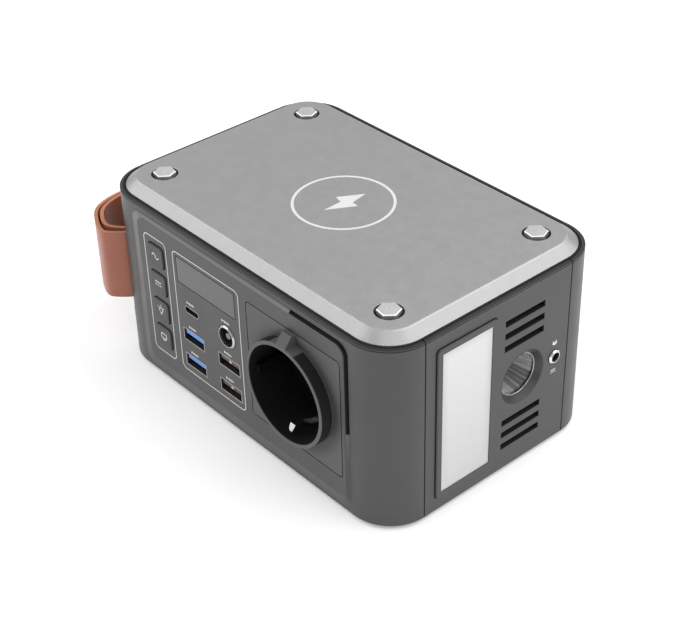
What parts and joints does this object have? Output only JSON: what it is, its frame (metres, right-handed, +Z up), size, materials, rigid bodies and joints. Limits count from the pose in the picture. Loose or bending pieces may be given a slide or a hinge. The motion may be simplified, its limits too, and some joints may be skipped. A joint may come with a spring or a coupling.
{
  "type": "portable power station",
  "caption": "Palm-wide battery power station: rounded grey box, silver chamfered lid, mains socket, USB ports, square keys, end lamp and torch, folded leather strap.",
  "frame": {"origin": "middle of the body's footprint, on the plane the rubber base pad stands on", "axes": "+X towards the lamp end, -X the strap end, -Y the front with the ports, +Z up"},
  "size_m": [0.1839, 0.1164, 0.0832],
  "materials": {
    "shell": "fine grain, dark grey",
    "trim": "satin, near black",
    "cover": "silver, satin",
    "cover_screw": "satin",
    "button": "satin, dark grey",
    "window": "smooth, smoked grey",
    "display": "dark glass",
    "port_metal": "smooth nickel",
    "usb_blue": "satin, blue",
    "usb_light": "satin, light",
    "port_black": "satin, black",
    "contact": "polished",
    "jack_metal": "polished",
    "socket": "satin, dark grey",
    "socket_insert": "satin, black",
    "earth_clip": "smooth",
    "lamp_frame": "fine grain, dark grey",
    "lamp_opal": "opal, smooth",
    "torch_bezel": "satin, dark grey",
    "lens": "clear",
    "reflector": "bright",
    "led": "phosphor yellow",
    "board": "solder mask",
    "chip": "black",
    "base_pad": "matte",
    "ink": "white print",
    "leather": "smooth saddle brown",
    "base_screw": "dark",
    "cell": "shrink wrap",
    "holder": "black",
    "nickel": "bright",
    "ferrite": "matte",
    "winding": "enamelled copper",
    "heat_sink": "plain",
    "capacitor": "sleeved",
    "fan": "black"
  },
  "bodies": {
    "station": {"base_plate": "shell", "rubber_base_pad": "base_pad", "base_screws": "base_screw", "front_shell": "shell", "rear_shell": "shell", "right_end_panel": "shell", "left_end_panel": "shell", "top_trim": "trim", "top_cover": "cover", "cover_screws": "cover_screw", "wireless_coil": "winding", "ferrite_sheet": "ferrite", "button_board": "board", "button_switches": "chip", "button_guide": "holder", "display_window": "window", "display_module": "display", "usb_board": "board", "usb_a_shells": "port_metal", "usb_a_blue_tongues": "usb_blue", "usb_a_light_tongues": "usb_light", "usb_a_contacts": "contact", "usb_c_shell": "port_metal", "usb_c_tongue": "port_black", "dc_output_jack": "jack_metal", "dc_output_pin": "contact", "socket_housing": "socket", "socket_insert": "socket_insert", "earth_clips": "earth_clip", "socket_contacts": "contact", "lamp_frame": "lamp_frame", "lamp_diffuser": "lamp_opal", "lamp_board": "board", "lamp_leds": "led", "torch_bezel": "torch_bezel", "torch_lens": "lens", "torch_reflector": "reflector", "torch_led_board": "led", "charge_jack": "jack_metal", "fan_frame": "fan", "strap_pins": "base_screw", "strap_pockets": "holder", "strap": "leather", "battery_cells": "cell", "cell_holder_front": "holder", "cell_holder_rear": "holder", "nickel_strips": "nickel", "battery_board": "board", "inverter_board": "board", "transformer_core": "ferrite", "transformer_winding": "winding", "heat_sinks": "heat_sink", "capacitors": "capacitor"},
    "button_ac": {"button_ac": "button"},
    "button_dc": {"button_dc": "button"},
    "button_lamp": {"button_lamp": "button"},
    "button_display": {"button_display": "button"},
    "fan": {"fan_rotor": "fan"}
  },
  "joints": [
    {"name": "button_ac_press", "type": "slide", "parent": "station", "child": "button_ac", "axis": [0, 1, 0], "range_m": [0, 0.0008], "stiffness_N_per_m": 1200, "springref_m": -0.0005},
    {"name": "button_dc_press", "type": "slide", "parent": "station", "child": "button_dc", "axis": [0, 1, 0], "range_m": [0, 0.0008], "stiffness_N_per_m": 1200, "springref_m": -0.0005},
    {"name": "button_lamp_press", "type": "slide", "parent": "station", "child": "button_lamp", "axis": [0, 1, 0], "range_m": [0, 0.0008], "stiffness_N_per_m": 1200, "springref_m": -0.0005},
    {"name": "button_display_press", "type": "slide", "parent": "station", "child": "button_display", "axis": [0, 1, 0], "range_m": [0, 0.0008], "stiffness_N_per_m": 1200, "springref_m": -0.0005},
    {"name": "fan_spin", "type": "hinge", "parent": "station", "child": "fan", "pos_m": [0.0535, 0.0125, 0.0396], "axis": [1, 0, 0], "continuous": true}
  ]
}
